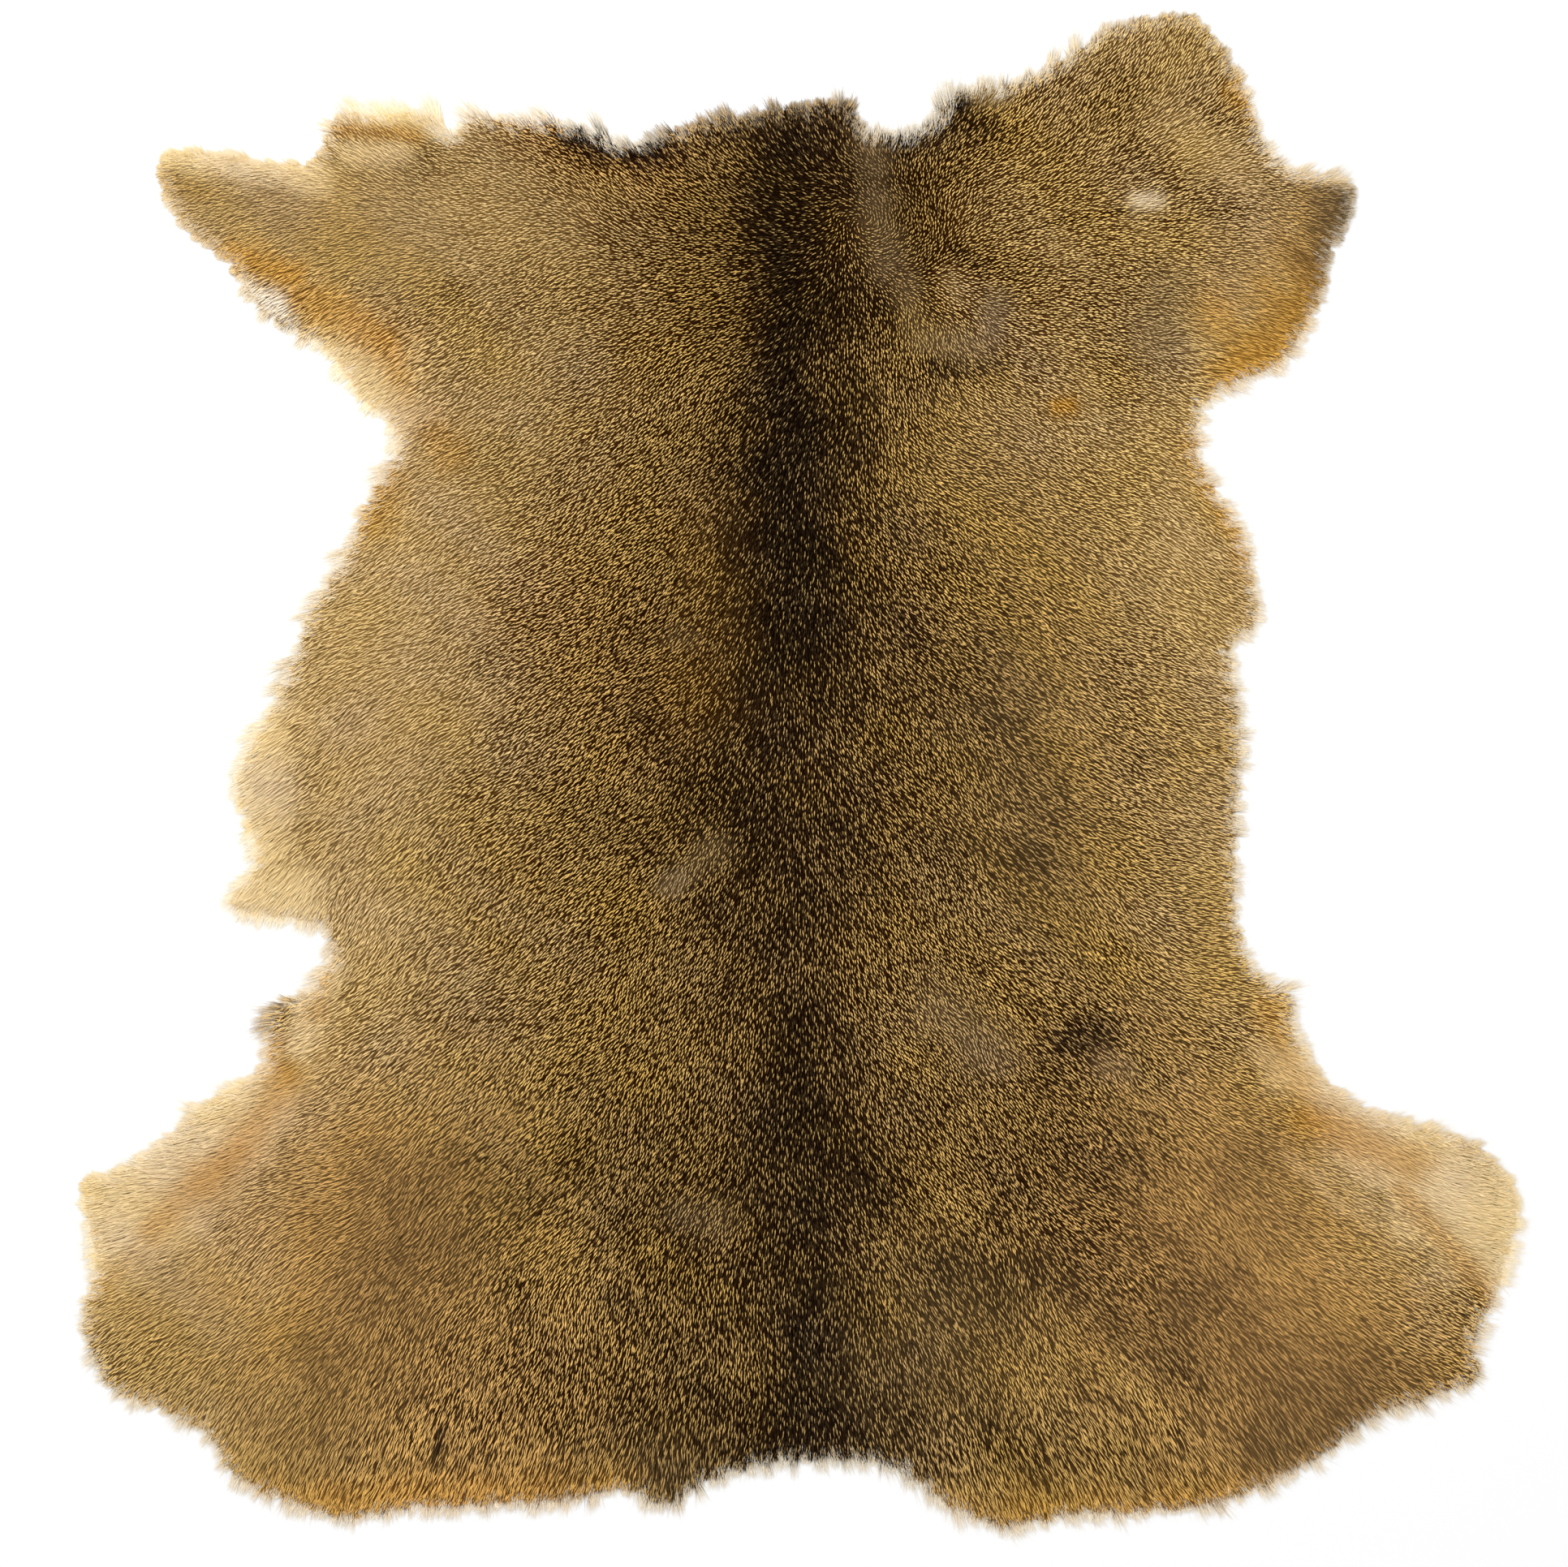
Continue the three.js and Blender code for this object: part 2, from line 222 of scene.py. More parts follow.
# Patches of another tone, each along a line: from x, from y, to x, to y, how wide it is and how strong
patches = {
    "cream": [  # bleached hair: leg flaps, belly and bits of the rim
        (-487, 484, -372, 465, 12, 0.75), (-365, 512, -275, 508, 14, 0.9), (-350, 482, -310, 486, 12, 0.5),
        (-362, 326, -312, 280, 23, 1), (-428, 40, -430, -50, 34, 1), (-440, -92, -395, -90, 26, 0.95),
        (-420, -110, -380, -160, 16, 0.4), (-552, -342, -430, -254, 36, 1), (-560, -380, -486, -338, 27, 1),
        (-364, -150, -386, -214, 14, 0.65), (448, -276, 520, -345, 44, 1), (386, -228, 447, -278, 22, 0.9),
        (545, -335, 548, -385, 32, 1), (385, 474, 420, 470, 9, 0.8), (348, 560, 368, 505, 10, 0.6),
        (372, 318, 390, 352, 7, 0.5), (256, 447, 272, 445, 7, 0.55),
    ],
    "white": [  # the white tuft on the left foreleg, a pale spot by the neck
        (-432, 379, -402, 367, 12, 1), (258, 447, 270, 445, 6, 0.3),
    ],
    "rust": [  # golden to orange hair
        (-440, 408, -390, 390, 12, 0.85), (-386, 376, -318, 342, 18, 0.7), (-316, 338, -300, 285, 11, 0.5),
        (-308, 290, -268, 252, 18, 0.45), (-325, 235, -335, 200, 20, 0.5), (-360, 502, -298, 497, 8, 0.8),
        (-408, -212, -420, -226, 12, 0.6), (-368, -140, -372, -185, 9, 0.6),
        (-396, -232, -431, -286, 16, 0.7), (-433, -290, -503, -357, 15, 0.75),
        (-480, -340, -545, -400, 12, 0.4), (404, 380, 345, 316, 31, 1), (318, 362, 340, 335, 20, 0.45),
        (308, 255, 350, 175, 18, 0.6), (358, -185, 374, -214, 12, 0.5), (378, -222, 396, -268, 15, 0.6),
        (392, -268, 470, -302, 20, 0.85), (462, -322, 540, -415, 11, 0.7), (196, 289, 206, 289, 8, 0.9),
        (338, 530, 352, 518, 11, 0.7), (-420, -568, -150, -562, 24, 0.6), (120, -584, 330, -568, 26, 0.6),
        (-70, 200, -70, 60, 34, 0.15),
    ],
    "rub": [  # rubbed to the grey wool
        (55, 492, 60, 470, 12, 0.4), (60, 446, 66, 398, 15, 0.42), (80, 384, 86, 352, 11, 0.4),
        (96, 341, 136, 336, 13, 0.55), (146, 346, 150, 366, 13, 0.55), (282, 376, 274, 334, 24, 0.5),
        (258, 447, 270, 445, 8, 0.3), (140, 531, 152, 528, 11, 0.9), (-284, 512, -272, 508, 10, 0.7),
        (-100, -86, -92, -78, 10, 0.6), (-90, -76, -64, -54, 13, 0.3), (112, -184, 146, -212, 24, 0.35),
        (238, -229, 254, -229, 13, 0.35), (-90, -340, -60, -348, 14, 0.2), (-95, 108, -85, 106, 12, 0.15),
    ],
    "dark": [  # darker than the section's shade
        (-170, 500, -120, 492, 22, 0.6), (80, 502, 135, 508, 22, 0.28), (100, 322, 150, 318, 11, 0.3),
        (118, 408, 138, 396, 6, 0.3), (206, -205, 234, -200, 15, 0.26), (352, -508, 368, -522, 20, 0.1),
        (165, 60, 195, -50, 44, 0.17), (175, -80, 200, -115, 34, 0.1), (-300, -325, -380, -475, 68, 0.24),
        (305, -440, 420, -480, 60, 0.2), (250, -390, 320, -385, 40, 0.06), (362, -300, 380, -325, 42, 0.2),
        (100, 470, 85, 380, 26, 0.1), (40, 380, 60, 350, 26, 0.12), (240, 372, 245, 280, 20, 0.09),
        (-70, 30, -62, 0, 22, 0.1), (40, 300, 52, 262, 18, 0.12), (30, 20, 40, -240, 22, 0.02),
        (82, 502, 84, 490, 22, 0.1), (240, -170, 185, -232, 32, 0.09), (238, -290, 245, -315, 38, 0.09),
        (100, -390, 190, -395, 30, 0.12), (-425, -202, -390, -170, 11, 0.62),
        (-500, 470, -470, 460, 12, 0.2), (425, 455, 425, 405, 38, 0.68), (400, 376, 348, 322, 38, 0.45),
        (340, -405, 420, -440, 46, 0.08), (-440, 450, -330, 432, 42, 0.1), (-330, 385, -310, 365, 40, 0.1),
        (-432, 360, -396, 351, 5, 0.6), (240, 530, 262, 505, 20, 0.16), (120, 540, 122, 520, 9, 0.4),
        # The rows of width 2.5 to 4 on this line and the next are painted shade: thin dark lines along
        # creases and partings in the coat.
        (190, 429, 252, 439, 2.5, 0.35), (280, 430, 340, 440, 3, 0.15), (262, 16, 352, 21, 3, 0.3),
        (-278, -505, -284, -535, 4, 0.3), (452, -262, 478, -269, 4, 0.8), (-400, 425, -340, 420, 20, 0.12),
        (100, 285, 190, 190, 60, 0.09), (60, -455, 200, -455, 60, 0.09),
    ],
    "light": [  # lighter than it
        (-250, 490, -225, 435, 40, 0.12), (85, -25, 82, -240, 26, 0.05), (118, -285, 118, -320, 30, 0.14),
        (78, -365, 78, -400, 24, 0.12), (-385, -222, -366, -192, 20, 0.15),
        (-420, -275, -495, -345, 18, 0.2), (-495, -385, -500, -392, 26, 0.15),
        (-380, 372, -318, 335, 26, 0.15), (-422, -228, -430, -300, 26, 0.2),
        (-430, -350, -415, -400, 44, 0.12), (362, -160, 366, -235, 15, 0.15),
        (180, -455, 180, -475, 30, 0.1), (-180, -370, -175, -390, 34, 0.16),
        (120, -520, 122, -545, 24, 0.14), (-315, 190, -305, 40, 70, 0.18), (380, -225, 430, -288, 26, 0.2),
        (112, 388, 118, 376, 12, 0.25), (275, 507, 344, 470, 20, 0.25), (290, 150, 300, 110, 40, 0.1),
    ],
    "calm": [  # hair lies smooth and shows few flecks
        (-345, -330, -440, -500, 118, 0.6), (380, -330, 400, -500, 118, 0.55),
        (-400, -550, -110, -560, 48, 0.2), (110, -585, 380, -550, 50, 0.2),
        (-335, 220, -350, -110, 85, 0.34), (335, 250, 340, -140, 75, 0.34), (-490, 465, -330, 420, 65, 0.7),
        (430, 440, 345, 350, 60, 0.7), (190, 60, 200, -60, 70, 0.2), (-540, -395, -465, -405, 55, 0.75),
        (-398, -238, -500, -352, 34, 1), (380, -225, 470, -305, 32, 0.9), (160, 250, 250, 150, 75, 0.22),
        (120, -440, 260, -460, 75, 0.22),
    ],
    "long": [  # hair lies long
        (-400, -545, -110, -560, 60, 1), (110, -575, 380, -540, 60, 1), (400, 385, 330, 325, 42, 1),
        (-430, 400, -305, 320, 32, 1), (370, -190, 460, -300, 30, 0.8),
    ],
    "warm": [  # a redder cast
        (-350, -350, -250, -520, 118, 0.85), (300, -360, 380, -480, 125, 0.95),
        (-185, 505, -120, 490, 40, 0.9), (-185, 120, -120, 60, 60, 0.45), (395, 430, 330, 390, 30, 0.3),
        (-320, 350, -300, 330, 30, 0.3),
    ],
    "crisp": [  # the rim is cut sharper
        (-510, 480, -370, 460, 38, 1), (-520, 440, -450, 400, 30, 0.8), (445, 470, 425, 395, 36, 0.8),
        (250, 592, 345, 560, 30, 0.7), (-560, -320, -430, -235, 26, 0.8), (400, -235, 560, -330, 30, 0.7),
    ],
    "bare": [  # the rim's hair stays dark
        (-100, 508, 40, 525, 26, 1), (-425, -202, -390, -170, 13, 1),
    ],
    "ruffled": [  # the whorl
        (70, 440, 86, 420, 48, 1),
    ],
}

# How the tones run into each other, and the waves that make them uneven
toning = {
    "spineSway": (7, 24, 0.4),
    "cloud": (0.05, 21, 1.1),
    "mottle": (0.035, 9, 2.3),
    "ragged": (0.22, 15, 0.8),
    "frayed": (0.15, 6, 1.9),
    "gold": (0.42, 26, 2.6),
    "goldDrift": (0.25, 70, 0.7),
    "falloff": 2.5,
    "rustOverCream": 0.8,
    "creamLightens": 0.85,
    "whiteLightens": 0.9,
    "darkDullsRust": 0.4,
    "calmOfRust": 0.2,
    "calmOfRub": 0.45,
    "calmOfPale": 0.2,
    "paleBelow": 0.45,
    "darkest": 1.05,
}


# The tones of the coat at each place: how dark, how cream, how rusty, how rubbed to the grey wool
def tonesAt(x, y):
    sections = np.array(sorted(backTones), float).T
    level = {name: np.interp(y, sections[0], column) for name, column in zip(backToneNames, sections)}
    offset = x + waves(x, y, toning["spineSway"]) - level["spineX"]
    flank = np.where(offset < 0, level["leftFlank"], level["rightFlank"])
    reach = np.where(offset < 0, level["toLeft"], level["toRight"])
    shade = flank + (level["back"] - flank) * np.exp(-((offset / reach) ** 2))
    shade += level["spine"] * np.exp(-((offset / level["spineWidth"]) ** 2))
    shade += waves(x, y, toning["cloud"]) + waves(x, y, toning["mottle"])
    tones = {}
    ragged = 1 + waves(x, y, toning["ragged"]) + waves(x, y, toning["frayed"])
    for tone, rows in patches.items():
        tones[tone] = np.zeros_like(x)
        for *line, width, strength in rows:
            away = distanceToLine(x, y, *line) / (width * ragged)
            amount = strength * np.exp(-(away ** toning["falloff"]))
            if tone in ("dark", "light"):
                tones[tone] += amount
            else:
                tones[tone] = np.maximum(tones[tone], amount)
    shade += tones["dark"] - tones["light"]
    tones["cream"] *= 1 - toning["rustOverCream"] * tones["rust"]
    tones["warm"] *= 1 - tones["cream"]
    shade *= (1 - toning["creamLightens"] * tones["cream"]) * (1 - toning["whiteLightens"] * tones["white"])
    tones["rust"] *= 1 - toning["darkDullsRust"] * smoothStep(shade)
    calms = (
        tones["calm"],
        tones["cream"],
        toning["calmOfRust"] * tones["rust"],
        toning["calmOfRub"] * tones["rub"],
        toning["calmOfPale"] * smoothStep(1 - shade / toning["paleBelow"]),
    )
    tones["calm"] = np.max(calms, axis=0)
    gold = 0.5 + waves(x, y, toning["gold"]) + waves(x, y, toning["goldDrift"])
    tones["gold"] = np.clip(gold, 0, 1)
    tones["shade"] = np.clip(shade, 0, toning["darkest"])
    return tones


grid = {"rowShare": 0.866, "shift": (-0.3, 0.3), "strays": 0.02, "fadeSpread": 5, "insideRim": 1.0}


# Places all over the hide, on a slanted grid with every place moved at random, whether each is one of
# the threefold pattern's standing locks, and its turn to fade, by a sevenfold pattern of those
def scatter(random, pitch, hide, low, high):
    columnCount = int((cadHigh.x - cadLow.x) / mm / pitch) + 4
    rowPitch = pitch * grid["rowShare"]
    rowCount = int((high - low) / rowPitch) + 1
    across, down = np.meshgrid(np.arange(columnCount), np.arange(rowCount))
    x = cadLow.x / mm + (across + 0.5 * (down % 2)) * pitch
    y = high - down * rowPitch
    slant = across - (down - down % 2) // 2 - down
    standing = (slant % 3 == 0) ^ (random.random(x.shape) < grid["strays"])
    turn = (down + 4 * (slant // 3)) % 7 + grid["fadeSpread"] * random.random(x.shape)
    fadeTurn = turn / (6 + grid["fadeSpread"])
    x = (x + random.uniform(*grid["shift"], x.shape) * pitch).ravel()
    y = (y + random.uniform(*grid["shift"], y.shape) * pitch).ravel()
    kept = (hide.read(hide.inside, x, y) > grid["insideRim"]) & (y > low) & (y <= high)
    return x[kept], y[kept], standing.ravel()[kept], fadeTurn.ravel()[kept]


tufts = {
    "apart": 4.5,
    "stretch": 1.3,
    "pull": 0.1,
    "turn": 3.5,
    "lift": 0.12,
    "span": 1400,
    "within": (0.12, 0.88),
    "seed": 5,
}


# For each place, how far aside its tuft's middle is, and a number that the tuft's locks share
def tuftsAt(x, y, angle, apart, stretch):
    pitch = apart * math.sqrt(stretch)
    size = 8 + int(tufts["span"] / pitch)
    random = np.random.default_rng(tufts["seed"])
    shiftX = random.uniform(*tufts["within"], (size, size))
    shiftY = random.uniform(*tufts["within"], (size, size))
    number = random.random((size, size))
    alongX, alongY = np.cos(angle), np.sin(angle)
    i = np.floor(x / pitch).astype(int) + size // 2
    j = np.floor(y / pitch).astype(int) + size // 2
    nearest = np.full(x.shape, np.inf)
    aside = np.zeros_like(x)
    chosen = np.zeros_like(x)
    for stepJ in range(-2, 3):
        for stepI in range(-2, 3):
            a = i + stepI
            b = j + stepJ
            toX = (a - size // 2 + shiftX[b, a]) * pitch - x
            toY = (b - size // 2 + shiftY[b, a]) * pitch - y
            forward = toX * alongX + toY * alongY
            sideways = toY * alongX - toX * alongY
            away = sideways**2 + (forward / stretch) ** 2
            closer = away < nearest
            nearest = np.where(closer, away, nearest)
            aside = np.where(closer, sideways, aside)
            chosen = np.where(closer, number[b, a], chosen)
    return aside, chosen


def addObject(name, data, at=(0, 0, 0)):
    made = bpy.data.objects.new(name, data)
    made.location = at
    bpy.context.scene.collection.objects.link(made)
    return made


# A mesh from arrays: places in millimetres, faces with the same number of corners each
def meshFromArrays(name, places, faces, attributes, uv=None):
    mesh = bpy.data.meshes.new(name)
    corners = faces.shape[1]
    mesh.vertices.add(len(places))
    mesh.vertices.foreach_set("co", (places * mm).astype(np.float32).ravel())
    mesh.loops.add(faces.size)
    mesh.loops.foreach_set("vertex_index", faces.astype(np.int32).ravel())
    mesh.polygons.add(len(faces))
    mesh.polygons.foreach_set("loop_start", np.arange(0, faces.size, corners, dtype=np.int32))
    mesh.update(calc_edges=True)
    mesh.validate(clean_customdata=False)
    mesh.polygons.foreach_set("use_smooth", np.ones(len(faces), bool))
    for key, values in attributes.items():
        layer = mesh.attributes.new(key, "FLOAT_VECTOR", "POINT")
        layer.data.foreach_set("vector", values.astype(np.float32).ravel())
    if uv is not None:
        layer = mesh.uv_layers.new(name="OFBake")
        layer.uv.foreach_set("vector", uv.astype(np.float32).ravel())
    return addObject(name, mesh)


# Each lock gets a small spot of its own on the map
def lockMap(numbers, total, corners):
    wide = int(math.ceil(math.sqrt(3 * total)))
    deep = int(math.ceil(total / wide))
    u = (numbers % wide)[:, None] + corners[None, :, 0]
    v = (numbers // wide)[:, None] + corners[None, :, 1]
    return np.stack([u / wide, v / deep], 2).reshape(-1, 2)


# Standing locks are kites: a root, two sides where the lock is widest, and a tip.
# The others are blades, widest at the root.
def layLocks(name, hide, places, tones, random, shape):
    x, y, angle, length, width = (places[key] for key in ("x", "y", "angle", "length", "width"))
    kite, blade = places["kite"], ~places["kite"]
    alongX, alongY = np.cos(angle), np.sin(angle)
    aside = places["aside"]
    layer = places["lift"] + shape["layering"] * random.uniform(-1, 1, x.shape)
    roll = np.tan(np.radians(random.uniform(-shape["roll"], shape["roll"], x.shape))) * width / 2

    def placeAt(share, sideways, depth, lift, lowest):
        bend = aside * (shape["bendShare"] if 0 < share < 1 else share)
        placeX = x + alongX * length * share - alongY * (bend + sideways)
        placeY = y + alongY * length * share + alongX * (bend + sideways)
        height = hide.read(hide.height, placeX, placeY) - depth + lift
        return np.stack([placeX, placeY, np.maximum(height, lowest)], 1)

    half = width / 2
    lowest = shape["lowest"]
    root = placeAt(0, 0, shape["rootDepth"], 0, lowest["root"])
    left = placeAt(shape["bendAt"], half, shape["midDepth"], layer + roll, lowest["side"])
    right = placeAt(shape["bendAt"], -half, shape["midDepth"], layer - roll, lowest["side"])
    rootLeft = placeAt(0, half, shape["rootDepth"], roll, lowest["bladeRoot"])
    rootRight = placeAt(0, -half, shape["rootDepth"], -roll, lowest["bladeRoot"])
    tip = placeAt(1, 0, shape["tipDepth"], layer, lowest["tip"])
    kites = np.stack([root[kite], left[kite], right[kite], tip[kite]], 1).reshape(-1, 3)
    blades = np.stack([rootLeft[blade], rootRight[blade], tip[blade]], 1).reshape(-1, 3)
    kiteCount, bladeCount = int(kite.sum()), int(blade.sum())
    first = 4 * np.arange(kiteCount)[:, None]
    kiteFaces = np.concatenate([first + np.array([0, 2, 1]), first + np.array([1, 2, 3])], 1).reshape(-1, 3)
    bladeFaces = 4 * kiteCount + 3 * np.arange(bladeCount)[:, None] + np.array([0, 1, 2])
    near, mid, far = 0.06, 0.5, 0.94
    kiteSpot = np.array([[mid, near], [far, mid], [near, mid], [near, mid], [far, mid], [mid, far]])
    bladeSpot = np.array([[near, near], [far, near], [mid, far]])
    total = kiteCount + bladeCount
    uv = np.concatenate([
        lockMap(np.arange(kiteCount), total, kiteSpot),
        lockMap(kiteCount + np.arange(bladeCount), total, bladeSpot),
    ])

    def perCorner(*values):
        return np.stack([np.concatenate([np.repeat(v[kite], 4), np.repeat(v[blade], 3)]) for v in values], 1)

    share = np.concatenate([
        np.tile([0.0, shape["bendAt"], shape["bendAt"], 1.0], kiteCount),
        np.tile([0.0, 0.0, 1.0], bladeCount),
    ])
    chance = random.random(len(x))
    attributes = {
        "lock": np.column_stack([share, perCorner(chance, places["fleck"])]),
        "tone": perCorner(tones["shade"], tones["cream"], tones["rust"]),
        "wear": perCorner(tones["rub"], tones["gold"], places["pale"]),
        "cast": perCorner(tones["calm"], tones["warm"], tones["white"]),
    }
    corners = np.concatenate([kites, blades])
    faces = np.concatenate([kiteFaces, bladeFaces])
    print("hair", name, "locks", total, "triangles", len(faces))
    return meshFromArrays(name, corners, faces, attributes, uv)


# How long a lock may be before it stands too far out past the rim
def heldLength(hide, x, y, angle, length, past, shape):
    outward = np.cos(angle) * hide.read(hide.outX, x, y) + np.sin(angle) * hide.read(hide.outY, x, y)
    room = (hide.read(hide.inside, x, y) + past) / np.maximum(outward, shape["leastOutward"])
    return np.where(outward > 0, np.minimum(length, np.maximum(room, shape["shortest"])), length)


# The guard hair: how far apart its locks are rooted, how each is shaped, and how it lies
guardHair = {
    "pitch": 1.57,
    "width": 1.5,
    "widths": (0.8, 1.2),
    "rootDepth": 5.2,
    "midDepth": 1.5,
    "tipDepth": 0.4,
    "lowest": {"root": 0.6, "side": 0.7, "bladeRoot": 0.5, "tip": 0.4},
    "layering": 0.3,
    "bendAt": 0.55,
    "bendShare": 0.6,
    "turnSpread": 5,
    "lengthSpread": 0.12,
    "shortest": 4,
    "roll": 10,
    "leastOutward": 0.3,
    "pastRim": (-3.5, 3.5),
    "crispPast": 4,
    "rubShortens": 0.2,
    "rubNarrows": 0.3,
    "calmNarrows": 0.2,
    "swirlSpread": 20,
    "swirl": (40, 11, 1.4),
    "whorlSwirl": 0.6,
    "whorlTurn": 75,
    "whorlShortens": 0.25,
}
# One lock in three stands up and shows its light band, the others lie deeper and dark between them,
# and that gives the coat its flecks; that dark is partly the hair's own and partly painted shade
# between the standing locks. Locks lean together into loose tufts.
flecks = {
    "lift": 0.6,
    "sink": 0.5,
    "lightWidth": 0.51,
    "darkWidth": 1.18,
    "lengthShare": 0.6,
    "calmLengthShare": 1.0,
    "calmLengthens": 0.4,
    "calmLevels": 0.6,
    "lightSpread": 0.35,
    "darkSpread": 0.3,
    "fadeFrom": 0.36,
    "fadeTo": 1.1,
    "fadeShare": 0.67,
}


def makeGuardHair(hide, part, top):
    shape = guardHair
    random = np.random.default_rng(part["seed"])
    x, y, standing, fadeTurn = scatter(random, shape["pitch"], hide, part["downTo"], top)
    tones = tonesAt(x, y)
    lieAngle, length = lieAt(x, y)
    lieAngle = lieAngle + np.radians(waves(x, y, lie["sway"]))
    aside, number = tuftsAt(x, y, lieAngle, tufts["apart"], tufts["stretch"])
    rub, calm, whorl = tones["rub"], tones["calm"], tones["ruffled"]
    turned = tufts["turn"] * (number - 0.5) * 2 + random.normal(0, shape["turnSpread"], x.shape)
    swirl = shape["swirlSpread"] * random.uniform(-1, 1, x.shape) + waves(x, y, shape["swirl"])
    turned += swirl * np.maximum(rub, shape["whorlSwirl"] * whorl) + shape["whorlTurn"] * whorl
    angle = lieAngle + np.radians(turned)
    smooth = np.maximum(np.maximum(flecks["calmLengthens"] * calm, tones["cream"]), tones["long"])
    lengthShare = flecks["lengthShare"] + (flecks["calmLengthShare"] - flecks["lengthShare"]) * smooth
    length = length * lengthShare * (1 - shape["rubShortens"] * rub) * (1 - shape["whorlShortens"] * whorl)
    length = length * (1 + shape["lengthSpread"] * random.uniform(-1, 1, x.shape))
    past = shape["crispPast"] * tones["crisp"] + random.uniform(*shape["pastRim"], x.shape)
    length = heldLength(hide, x, y, angle, length, past, shape)
    wide = np.where(standing, flecks["lightWidth"], flecks["darkWidth"])
    wide = wide * random.uniform(*shape["widths"], x.shape)
    narrow = (1 - shape["rubNarrows"] * rub) * (1 - shape["calmNarrows"] * calm)
    darkest = (tones["shade"] - flecks["fadeFrom"]) / (flecks["fadeTo"] - flecks["fadeFrom"])
    fading = flecks["fadeShare"] * smoothStep(darkest)
    lit = standing & (fadeTurn > fading * (1 - rub))
    lift = np.where(standing, flecks["lift"], -flecks["sink"]) * (1 - flecks["calmLevels"] * calm)
    lightFleck = 1 - flecks["lightSpread"] * random.random(x.shape) ** 1.5
    # Lying locks keep to the dark colour: dark hair, and painted shade between the standing locks
    darkFleck = flecks["darkSpread"] * random.random(x.shape) ** 2
    places = {
        "x": x,
        "y": y,
        "angle": angle,
        "length": length,
        "width": shape["width"] * narrow * wide,
        "kite": standing,
        "aside": aside * tufts["pull"],
        "lift": lift + tufts["lift"] * (number - 0.5),
        "fleck": np.where(lit, lightFleck, darkFleck),
        "pale": tones["white"],
    }
    return layLocks(part["name"], hide, places, tones, random, shape)


# The finer, paler hair that stands out round the rim
rimHair = {
    "pitch": 0.72,
    "depth": 15,
    "leastDepth": 0.35,
    "pastRim": 19,
    "leastPast": 0.2,
    "shortOfRim": 3,
    "crispCuts": 0.65,
    "width": 0.52,
    "widths": (0.7, 1.3),
    "shortest": 8,
    "longest": 38,
    "leastOutward": 0.5,
    "outward": 0.8,
    "turnSpread": 9,
    "tuftApart": 7.5,
    "tuftStretch": 2.0,
    "tuftTurn": 20,
    "pull": 0.6,
    "bendAt": 0.45,
    "kiteShare": 0.15,
    "lifts": (-1.2, 0.3),
    "rust": 0.6,
    "bareDulls": 0.85,
    "crispDulls": 0.6,
    "leastPale": 0.5,
    "seed": 23,
}


def makeRimHair(hide):
    shape = rimHair
    random = np.random.default_rng(shape["seed"])
    x, y, *_ = scatter(random, shape["pitch"], hide, cadLow.y / mm, cadHigh.y / mm)
    inside = hide.read(hide.inside, x, y)
    kept = inside < shape["depth"] * random.uniform(shape["leastDepth"], 1, x.shape)
    x, y, inside = x[kept], y[kept], inside[kept]
    tones = tonesAt(x, y)
    tones["rust"] = shape["rust"] * tones["rust"]
    outX, outY = hide.read(hide.outX, x, y), hide.read(hide.outY, x, y)
    lieAngle, _ = lieAt(x, y)
    towardsY = np.sin(lieAngle) + shape["outward"] * outY
    towards = np.arctan2(towardsY, np.cos(lieAngle) + shape["outward"] * outX)
    aside, number = tuftsAt(x, y, towards, shape["tuftApart"], shape["tuftStretch"])
    turned = random.normal(0, shape["turnSpread"], x.shape) + shape["tuftTurn"] * (number - 0.5)
    towards = towards + np.radians(turned)
    outward = np.cos(towards) * outX + np.sin(towards) * outY
    pastShare = shape["leastPast"] + (1 - shape["leastPast"]) * number
    past = shape["pastRim"] * pastShare * (1 - shape["crispCuts"] * tones["crisp"])
    reach = (past + shape["shortOfRim"]) * random.random(x.shape) ** 0.9
    length = (inside - shape["shortOfRim"] + reach) / np.maximum(outward, shape["leastOutward"])
    length = np.clip(length, shape["shortest"], shape["longest"])
    pale = (1 - shape["bareDulls"] * tones["bare"]) * (1 - shape["crispDulls"] * tones["crisp"])
    places = {
        "x": x,
        "y": y,
        "angle": towards,
        "length": length,
        "width": shape["width"] * random.uniform(*shape["widths"], x.shape),
        "kite": random.random(x.shape) < shape["kiteShare"],
        "aside": aside * shape["pull"],
        "lift": random.uniform(*shape["lifts"], x.shape),
        "fleck": random.random(x.shape),
        "pale": pale * random.uniform(shape["leastPale"], 1, x.shape),
    }
    return layLocks("rimHair", hide, places, tones, random, dict(guardHair, bendAt=shape["bendAt"]))


sheets = {"softening": 3, "rimSteps": 4, "rimPull": 0.8, "woolAlong": 0.25}


